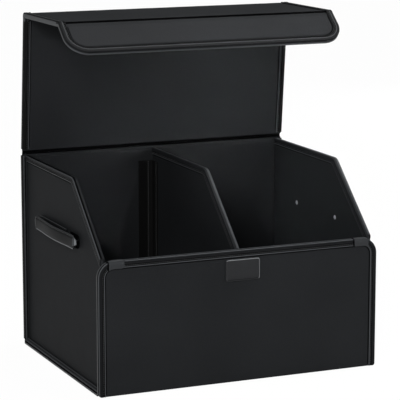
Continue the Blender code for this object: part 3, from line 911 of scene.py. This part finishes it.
def make_web(name, pivot, before, bend, bodies, creases, node):
    """Cover that runs over a fold, level with the boards on both sides of it."""
    steps = cover_steps(LID_LAP)
    sides = [LID_EDGE_X - bound for bound, _, _ in steps]
    drops = [(bound, drop) for bound, _, drop in steps]
    count = round(2 * sides[-1] / GRID_PITCH)
    middle = [sides[-1] * (2 * step / count - 1) for step in range(1, count)]
    stations = [-side for side in sides] + middle + sides[::-1]
    rows = [-row for row in FOLD_ROWS[:0:-1]] + list(FOLD_ROWS)

    def height(side):
        def level(across, along):
            crumple = noise.noise(Vector((across * CRUMPLE_WIDE, along * CRUMPLE_LONG, side))) * CRUMPLE
            crumple *= 1 - smooth(abs(along) / FOLD_REACH)
            drop = between(LID_EDGE_X - abs(across), drops)
            return side * (PANEL_HALF - drop - groove(along, creases[side]) + crumple)
        return level

    place = folding(pivot, before, bend)
    # The bottom of each crease takes painted shade as far as its crease's last number says
    work = slab_grid(stations, rows, height(1), height(-1), [creases[side][-1] for side in (1, -1)])
    make_cover(name, work, place, across_fold(place, *bodies), node)


def lid_outline(start, end):
    return rectangle(-LID_EDGE_X, start, LID_EDGE_X, end)


def fold_tapes(name, pivot, before, bend, bodies, edge_looks):
    """Edge tapes that run over a fold with the cover."""
    place = folding(pivot, before, bend)
    board = (PANEL_HALF, LID_LAP, place, across_fold(place, *bodies))
    side_tapes(name, lid_outline(-FOLD_REACH, FOLD_REACH), (0, 0), board, edge_looks, LID_TAPE_LOOKS,
               own_nodes=False)


def make_base():
    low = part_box("base_binding_left")[0]
    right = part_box("base_binding_right")[1].x
    outline = rectangle(low.x, low.y, right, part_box("base_panel")[1].y)
    board = (BASE_HALF, BACK_LAP, lying(BASE_HALF), "box")
    make_panel("base", outline, SQUARE, ("free", "bound", "free", "bound"), board)
    side_tapes("base", outline, (0, COVER), board, FRONT_EDGE, one_sided=True)
    low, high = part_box("floor_board")
    half = (high.z - low.z) / 2
    place = lying(low.z + half)
    free_board("floor_cover", low.xy, high.xy, half, THIN_LAP, place, "floor_board", "lining_board")


def make_back():
    low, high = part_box("back_panel")
    board = (PANEL_HALF, BACK_LAP, facing((low.y + high.y) / 2, 1), "box")
    outline = rectangle(-HALF_WIDTH, low.z, HALF_WIDTH, HINGE.z - FOLD_REACH)
    make_panel("back", outline, SQUARE, ("free", "bound", "fold", "bound"), board)
    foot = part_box("back_binding_left")[0].z - low.z
    outline = rectangle(-HALF_WIDTH, low.z, HALF_WIDTH, HINGE.z)
    side_tapes("back", outline, (foot, LID_TAPE_SETBACK), board, PLAIN_EDGE, DARK_TAPE_LOOKS)
    low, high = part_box("back_liner")
    half = (high.y - low.y) / 2
    free_board("back_liner_cover", low.xz, high.xz, half, BACK_LAP, facing(low.y + half, 1), "back_liner")


def make_front():
    place = facing(FRONT_MID_Y, -1)
    outline = rectangle(-HALF_WIDTH, 0, HALF_WIDTH, FRONT_HEIGHT)
    radii = (FRONT_FOOT_RADIUS, FRONT_FOOT_RADIUS, FRONT_TOP_RADIUS, FRONT_TOP_RADIUS)
    board = (FRONT_HALF, FRONT_LAP, place, "box")
    bound_panel("front", outline, radii, ("free", "bound", "bound", "bound"), CLEARANCE, board, FRONT_EDGE,
                LID_TAPE_LOOKS)
    for side, _, _ in SIDES:
        make_tab(f"{side}_corner_tab", place)


def front_top(across, distance):
    """Height of the front's top outline, moved in by a distance, at a place across."""
    radius = FRONT_TOP_RADIUS - distance
    past = abs(across) - (HALF_WIDTH - FRONT_TOP_RADIUS)
    if past <= 0:
        return FRONT_HEIGHT - distance
    radius = max(radius, past + SHARPEST)
    return FRONT_HEIGHT - FRONT_TOP_RADIUS + math.sqrt(radius ** 2 - past ** 2)


def tab_depth(step):
    """How far a tab reaches down at a small distance from its end, so that its corners are round."""
    cut = TAB_CORNER - math.sqrt(TAB_CORNER ** 2 - (TAB_CORNER - step) ** 2)
    return TAB_LAP - TAB_GROWTH - cut


def make_tab(node, place):
    """Strap over the bound top edge of the front, with rounded ends and painted shade over the first stations
    of its left end.
    """
    low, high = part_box(node)
    half = FRONT_TOTAL_HALF + TAB_GROWTH
    inner = FRONT_TOTAL_HALF + CLEARANCE / 2
    foot = TAB_LAP - TAB_GROWTH
    lip = [(foot, half - TAB_LIP_DEPTH), (foot - TAB_LIP, half)]
    nose = [(half * (1 - math.sin(angle)) - TAB_GROWTH, half * math.cos(angle))
            for angle in spaced(0, math.pi, NOSE_STEPS)]
    skin = lip + nose + [(distance, -out) for distance, out in lip[::-1]]
    slot = [(foot, -inner), (0, -inner), (0, inner), (foot, inner)]
    stations = [(low.x + step, step, slimmer) for step, slimmer in TAB_END]
    stations += [(across, TAB_CORNER, 0)
                 for across in spaced(low.x + TAB_CORNER, high.x - TAB_CORNER, TAB_STATIONS)[1:-1]]
    stations += [(high.x - step, step, slimmer) for step, slimmer in TAB_END[::-1]]

    def line_at(distance, out, share):
        line = []
        for across, step, slimmer in stations:
            height = front_top(across, min(distance, tab_depth(step)) + share * slimmer)
            line.append((across, height, math.copysign(max(abs(out) - share * slimmer, 0), out)))
        return line

    lines = [line_at(*point, 1) for point in skin] + [line_at(*point, 0) for point in slot]
    work = loft(lines, lambda _, station: PAINTED_SHADE if station < TAB_SHADED_STATIONS else FLAT)
    stand_for(as_piece(node + "_strap", work, place, ("tab", "painted_shade"), "box"), "binding", node)


def side_profile():
    """Side panel from the front: foot, back, level top, chamfer, front."""
    low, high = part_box("right_side_binding")
    return corners(
        (low.y, SIDE_LOW.z), (high.y, SIDE_LOW.z), (high.y, SIDE_TOP),
        (FRONT_LOW.y + CHAMFER_DEPTH, SIDE_TOP), (low.y, CHAMFER_FOOT_HEIGHT),
    )


SIDE_RADII = (0, 0, 0, CHAMFER_RADIUS, 0)
SIDE_KINDS = ("free", "free", "bound", "bound", "free")


def make_side(side, sign, edge_looks):
    board = (PANEL_HALF, SIDE_LAP, beside(sign * SIDE_MID_X, sign), "box")
    bound_panel(f"{side}_side", side_profile(), SIDE_RADII, SIDE_KINDS, 0, board, edge_looks)
    make_welt(f"{side}_foot_welt")
    make_handle(side, sign)


def make_welt(node):
    """Piping: a thin cord in a folded strip, gathered a little by its stitches."""
    low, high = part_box(node)
    radius = (high.z - low.z) / 2
    middle = (low + high) / 2
    places = []
    for along in spaced(low.y, high.y, round((high.y - low.y) / WELT_PITCH)):
        gather = WELT_GATHER * (0.5 + 0.5 * math.cos(math.tau * along / STITCH_PITCH))
        places.append((along, radius * (1 - gather)))
    work = loft([[(middle.x + size * math.cos(angle), along, middle.z + size * math.sin(angle))
                  for along, size in places] for angle in round_about(NOSE_STEPS)])
    # The piping takes the painted highlight look all over
    stand_for(as_piece(node + "_piping", work, at_home, ("painted_highlight",), "box"), "binding", node)


def at_home(x, y, z):
    return Vector((x, y, z))


def make_divider():
    low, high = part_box("divider_binding")
    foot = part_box("divider_panel")[0].z
    room = side_profile()
    profile = inset(room, (foot - room[0].y, room[1].x - high.y, DIVIDER_DROP, DIVIDER_DROP, 0))
    board = (PANEL_HALF, SIDE_LAP, beside((low.x + high.x) / 2, 1), "box")
    bound_panel("divider", profile, SIDE_RADII, SIDE_KINDS, 0, board, RIGHT_EDGE)
    make_flange()
    make_loop_tape()


def make_flange():
    """Angled strip that joins the divider to the loop tape, with a soft corner and stitched legs."""
    low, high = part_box("divider_flange")
    outer, inner = FLANGE_CORNER_RADIUS, FLANGE_CORNER_RADIUS - FLANGE_THICKNESS
    corner = Vector((high.x - outer, high.y - outer))
    ways = [Vector((math.sin(angle), math.cos(angle))) for angle in spaced(0, math.pi / 2, ARC_STEPS)]
    leg_x, leg_y = high.x - FLANGE_THICKNESS, high.y - FLANGE_THICKNESS
    left, foot = low.x + SHARPEST, low.y + SHARPEST
    outline = [corner + way * outer for way in ways]
    outline += corners((high.x, foot), (high.x - SHARPEST, low.y), (leg_x + SHARPEST, low.y), (leg_x, foot))
    outline += [corner + way * inner for way in ways[::-1]]
    outline += corners((left, leg_y), (low.x, leg_y + SHARPEST), (low.x, high.y - SHARPEST), (left, high.y))
    heights = spaced(low.z, high.z, round((high.z - low.z) / GRID_PITCH))
    lines = [[(*point, height) for height in heights] for point in outline]
    piece = as_piece("divider_flange_strip", loft(lines), at_home, ("flange",), "box")
    stand_for(piece, "leatherette", "divider_flange")
    for name, start, place in (("back", low.x, facing(leg_y, 1)), ("side", low.y, beside(leg_x, 1))):
        leg = corners((start + FLANGE_STITCH, low.z), (start + FLANGE_STITCH, high.z))
        make_stitches(f"flange_{name}_leg", [(leg, 0, -1)], place, "box")


def make_loop_tape():
    """Strip of loop tape: a short uneven pile on a flat backing."""
    low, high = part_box("divider_loop_tape")
    across = spaced(low.x, high.x, PILE_ACROSS)
    along = spaced(low.z, high.z, round((high.z - low.z) / PILE_PITCH))

    def pile(x, z):
        edge = smooth(min(x - low.x, high.x - x, z - low.z, high.z - z) / PILE_EDGE)
        tuft = 1 - PILE_UNEVEN + PILE_UNEVEN * noise.noise(Vector((x, z, 0)) * PILE_SCALE)
        return (high.y - low.y) * (PILE_LEAST + (1 - PILE_LEAST) * edge * tuft)

    work = slab_grid(across, along, pile, lambda *_: 0)
    make_cover("loop_tape_strip", work, facing(high.y, -1), "box", "divider_loop_tape", "loop_tape")


def strap_route(spacing):
    """Centre line of a strap as (along, out): long foot, turn, bowed grip, turn, short foot."""
    foot = CLEARANCE + STRAP_HALF
    reach = spacing / 2 + STRAP_OVERHANG - STRAP_TURN_RADIUS - STRAP_HALF
    centre = foot + STRAP_TURN_RADIUS
    points = [Vector((reach - STRAP_LONG_FOOT, foot))]
    turn = spaced(0, math.pi, ARC_STEPS)
    points += [Vector((reach + STRAP_TURN_RADIUS * math.sin(a), centre - STRAP_TURN_RADIUS * math.cos(a)))
               for a in turn]
    for step in range(1, BOW_STEPS):
        share = step / BOW_STEPS
        bow = STRAP_BOW * math.sin(math.pi * share) ** 2
        points.append(Vector((reach * (1 - 2 * share), centre + STRAP_TURN_RADIUS + bow)))
    points += [Vector((-reach - STRAP_TURN_RADIUS * math.sin(a), centre + STRAP_TURN_RADIUS * math.cos(a)))
               for a in turn]
    points.append(Vector((-reach + STRAP_SHORT_FOOT, foot)))
    return points


def along_strap(route, centre, sign):
    """Bend (length along the strap, across it, out of it) onto the strap's centre line."""
    lengths = [0]
    for before, after in zip(route, route[1:]):
        lengths.append(lengths[-1] + (after - before).length)
    ways = []
    for index in range(len(route)):
        before, after = route[max(index - 1, 0)], route[min(index + 1, len(route) - 1)]
        ways.append((after - before).normalized())
    tip = max(point.x for point in route) - STRAP_END_RADIUS

    def place(length, across, out):
        index = next((i for i in range(len(route) - 1) if length <= lengths[i + 1]), len(route) - 2)
        share = (length - lengths[index]) / (lengths[index + 1] - lengths[index])
        point = route[index].lerp(route[index + 1], share)
        way = ways[index].lerp(ways[index + 1], share).normalized()
        past = min(max(abs(point.x) - tip, 0), STRAP_END_RADIUS)
        cut = STRAP_END_RADIUS - math.sqrt(STRAP_END_RADIUS ** 2 - past ** 2)
        across *= 1 - cut / STRAP_HALF_WIDTH
        point = point + Vector((way.y, -way.x)) * out
        return Vector((centre.x + sign * point.y, centre.y + point.x, centre.z + across))
    return place, lengths[-1]


def strap_look(lower_rim, strips, count, length):
    """Looks of a strap: painted highlights on its rims, a brighter painted highlight on the grip's lower rim
    and the front turn, and painted shade where it is folded back.
    """
    turn = math.pi * STRAP_TURN_RADIUS
    grip_start = STRAP_LONG_FOOT + turn
    grip_end = length - STRAP_SHORT_FOOT - turn

    def look_at(strip, station):
        along = length * (station + 0.5) / count
        share = (along - grip_end) / turn
        on_top = strip < lower_rim * TURN_SHARE
        if abs(along - grip_start) < STRAP_FOLD_LINE[0]:
            return PAINTED_HIGHLIGHT
        if STRAP_FOLD_LINE[0] < along - grip_start < STRAP_FOLD_LINE[1]:
            return PAINTED_SHADE
        if share > 0 and share < TURN_GLINT_SHARES[0]:
            return PAINTED_HIGHLIGHT if on_top else FLAT
        if share > 0:
            return PAINTED_GLINT if share < TURN_GLINT_SHARES[1] and on_top and strip > 0 else PAINTED_SHADE
        if lower_rim - 2 * STRAP_RIM <= strip < lower_rim:
            return PAINTED_GLINT if along > grip_start else PAINTED_HIGHLIGHT
        return FLAT if STRAP_RIM <= strip < strips - STRAP_RIM else PAINTED_HIGHLIGHT
    return look_at


def make_handle(side, sign):
    """Folded carry strap: crowned, with rounded edges and a row of stitches along each edge."""
    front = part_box(f"{side}_front_rivet")
    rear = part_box(f"{side}_rear_rivet")
    middle = (front[0] + front[1] + rear[0] + rear[1]) / 4
    centre = Vector((sign * SIDE_OUTER_X, middle.y, middle.z))
    place, length = along_strap(strap_route((rear[0] - front[0]).length), centre, sign)
    upper = [*STRAP_FACE, *((-across, out) for across, out in STRAP_FACE[-2::-1])]
    section = upper + [(across, max(-out, -STRAP_HALF)) for across, out in upper[-2:0:-1]]
    count = round(length / STRAP_PITCH)
    stations = spaced(0, length, count)
    lines = [[(station, across, out) for station in stations] for across, out in section]
    work = loft(lines, strap_look(len(upper), len(section), count, length))
    strap = as_piece(f"{side}_handle_strap_cover", work, place, STRAP_LOOKS, "box")
    stand_for(strap, "leatherette", f"{side}_handle_strap")
    rows = []
    for across in (STRAP_STITCH, -STRAP_STITCH):
        line = [Vector((station, across)) for station in stations[2:-2]]
        rows.append((line, STRAP_HALF - STITCH_GROOVE, 1))
    make_stitches(f"{side}_handle", rows, place, "box")
    for end in ("front", "rear"):
        make_rivet(f"{side}_{end}_rivet")


def make_rivet(node):
    """Domed rivet: two heads, each with a thin rim, on a shank."""
    low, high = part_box(node)
    middle = (low + high) / 2
    seat = (high.x - low.x) / 2 - RIVET_HEAD_HEIGHT
    brim = seat + RIVET_RIM_HEIGHT
    dome = RIVET_HEAD_RADIUS - RIVET_RIM
    rise = RIVET_HEAD_HEIGHT - RIVET_RIM_HEIGHT
    upper = [(max(dome * math.sin(angle), DOME_TIP), brim + rise * math.cos(angle))
             for angle in spaced(0, math.pi / 2, ARC_STEPS)]
    upper += [(RIVET_HEAD_RADIUS, brim), (RIVET_HEAD_RADIUS, seat), (RIVET_SHANK_RADIUS, seat)]

    def place(x, y, out):
        return middle + Vector((out, x, y))

    work = turned(upper + [(radius, -out) for radius, out in upper[::-1]])
    rivet = as_piece(node + "_head", work, place, ("polished_metal",), "box", METAL_SHARP)
    stand_for(rivet, "polished_metal", node)


def make_latch():
    """Bare catch plate with a dished face. Its rim carries a painted highlight along the top and, thinner, on
    the right.
    """
    low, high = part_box("latch_plate")
    outline = rectangle(low.x, low.z, high.x, high.z)
    half = (high.y - low.y) / 2
    rings = []
    for step, drop in LATCH_STEPS:
        ring = flat(arcs(inset(outline, (step,) * 4), (LATCH_RADIUS,) * 4, step))
        rings.append([(*point, half - drop) for point in ring])
    back = [(x, z, -half) for x, z, _ in rings[1]]

    def look_at(step, index):
        rim = LATCH_RIM if index in LATCH_TOP else LATCH_RIM[1:2] if index in LATCH_RIGHT else ()
        return int(step in rim)

    work = bmesh.new()
    close_rings(work, rings[::-1] + [back], look_at)
    looks = ("dark_metal", "bright_rim")
    plate = as_piece("latch_cover_plate", work, facing(low.y + half, -1), looks, "box", METAL_SHARP)
    stand_for(plate, "dark_metal", "latch_plate")


def make_lid():
    middle_angle = LID_LEAN + LID_MID_BEND
    make_section("lid_rear", LID_REAR_LENGTH, leaning(HINGE, LID_LEAN), LID_TAPE_SETBACK, PLAIN_EDGE,
                 DARK_TAPE_LOOKS)
    make_section("lid_mid", LID_MID_LENGTH, leaning(MID_FOLD, middle_angle), FOLD_REACH, LID_EDGE,
                 LID_TAPE_LOOKS)
    make_flap(leaning(FLAP_FOLD, middle_angle + LID_FLAP_BEND))
    make_web("hinge_web_cover", HINGE, 0, LID_LEAN, ("box", "lid_rear"), HINGE_CREASES, "back_fold_web")
    mid_fold = (MID_FOLD, LID_LEAN, LID_MID_BEND, ("lid_rear", "lid_mid"))
    flap_fold = (FLAP_FOLD, middle_angle, LID_FLAP_BEND, ("lid_mid", "lid_flap"))
    make_web("mid_web_cover", *mid_fold, MID_CREASES, "mid_fold_web")
    make_web("flap_web_cover", *flap_fold, FLAP_CREASES, "flap_fold_web")
    fold_tapes("mid_fold", *mid_fold, LID_EDGE)
    fold_tapes("flap_fold", *flap_fold, FLAP_EDGE)


def make_section(name, length, place, tape_start, edge_looks, looks):
    board = (PANEL_HALF, LID_LAP, place, name)
    kinds = ("fold", "bound", "fold", "bound")
    make_panel(name, lid_outline(FOLD_REACH, length - FOLD_REACH), SQUARE, kinds, board)
    side_tapes(name, lid_outline(0, length), (tape_start, FOLD_REACH), board, edge_looks, looks)


def make_flap(place):
    radii = (0, 0, LID_CORNER_RADIUS, LID_CORNER_RADIUS)
    kinds = ("fold", "bound", "bound", "bound")
    board = (PANEL_HALF, LID_LAP, place, "lid_flap")
    # The flap's cover takes the lighter copy of the leatherette, which is painted light
    bound_panel("lid_flap", lid_outline(FOLD_REACH, LID_FLAP_LENGTH), radii, kinds, 0, board, FLAP_EDGE,
                LID_TAPE_LOOKS, "flap")
    make_patch(place)


def make_patch(flap):
    """Cover over the flap's magnet, sewn round on the underside of the flap."""
    plate_low, plate_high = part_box("latch_plate")
    start = FOLD_PANEL_SETBACK + MAGNET_MARGIN
    outline = rectangle(plate_low.x, start, plate_high.x, start + plate_high.z - plate_low.z)
    radii = (LATCH_RADIUS,) * 4

    def place(across, along, out):
        return flap(across, along, out - PANEL_HALF - CLEARANCE - MAGNET_HALF)

    work = covered_board(outline, radii, ("free",) * 4, MAGNET_HALF, THIN_LAP)
    make_cover("magnet_patch_cover", work, place, "lid_flap", "flap_magnet_patch")
    ring = flat(arcs(inset(outline, (PATCH_STITCH,) * 4), radii, PATCH_STITCH))
    make_stitches("magnet_patch", [(ring + ring[:1], -MAGNET_HALF, -1)], place, "lid_flap")


def make_floor():
    """Pale floor. The camera and reflections see most of it as white, and it keeps a soft shadow."""
    work = bmesh.new()
    outline = rectangle(-FLOOR_REACH, -FLOOR_REACH, FLOOR_REACH, FLOOR_REACH)
    work.faces.new([work.verts.new((*point, FLOOR_LEVEL)) for point in outline])
    floor = link_mesh("studio_floor", work)
    material = bpy.data.materials.new("pale_floor")
    material.use_nodes = True
    tree = material.node_tree
    tree.nodes.clear()
    matt = add(tree, "ShaderNodeBsdfDiffuse", {"Color": FLOOR_TONE}).outputs["BSDF"]
    white = add(tree, "ShaderNodeEmission", {"Color": (1, 1, 1, 1), "Strength": 1}).outputs["Emission"]
    share = add(tree, "ShaderNodeMath", {0: seen_ray(tree), 1: FLOOR_WHITE}, operation="MULTIPLY").outputs[0]
    mixed = add(tree, "ShaderNodeMixShader", {0: share, 1: matt, 2: white}).outputs[0]
    add(tree, "ShaderNodeOutputMaterial", {"Surface": mixed})
    floor.data.materials.append(material)


def seen_ray(tree):
    """1 where the camera, a reflection or glass looks, else 0."""
    rays = tree.nodes.new("ShaderNodeLightPath").outputs
    seen = rays["Is Camera Ray"]
    for kind in ("Is Glossy Ray", "Is Transmission Ray"):
        seen = add(tree, "ShaderNodeMath", {0: seen, 1: rays[kind]}, operation="MAXIMUM").outputs[0]
    return seen


def make_world():
    world = bpy.data.worlds.new("studio_air")
    bpy.context.scene.world = world
    world.use_nodes = True
    air = world.node_tree.nodes["Background"]
    air.inputs["Color"].default_value = (1, 1, 1, 1)
    air.inputs["Strength"].default_value = AIR_LIGHT


def link_aimed(name, data, place, turn):
    """Lamp or camera at a place, turned its way."""
    holder = link(name, data)
    holder.location = place
    holder.rotation_euler = turn
    return holder


def make_lamp(name, place, aim, width, height, power, spread):
    lamp = bpy.data.lights.new(name, "AREA")
    lamp.shape = "RECTANGLE"
    lamp.size = width
    lamp.size_y = height
    lamp.energy = power
    lamp.spread = math.radians(spread)
    way = Vector(aim) - Vector(place)
    link_aimed(name, lamp, place, way.to_track_quat("-Z", "Y").to_euler())


def make_studio():
    make_floor()
    make_world()
    for lamp in LAMPS:
        make_lamp(*lamp)
    camera = bpy.data.cameras.new("photo_camera")
    camera.lens = CAMERA_LENS
    camera.sensor_width = CAMERA_SENSOR
    camera.clip_end = CAMERA_REACH
    bpy.context.scene.camera = link_aimed("photo_camera", camera, CAMERA_PLACE, CAMERA_TURN)
    bpy.context.scene.view_settings.view_transform = "Standard"


make_base()
make_back()
make_front()
for side_row in SIDES:
    make_side(*side_row)
make_divider()
make_latch()
make_lid()
make_studio()
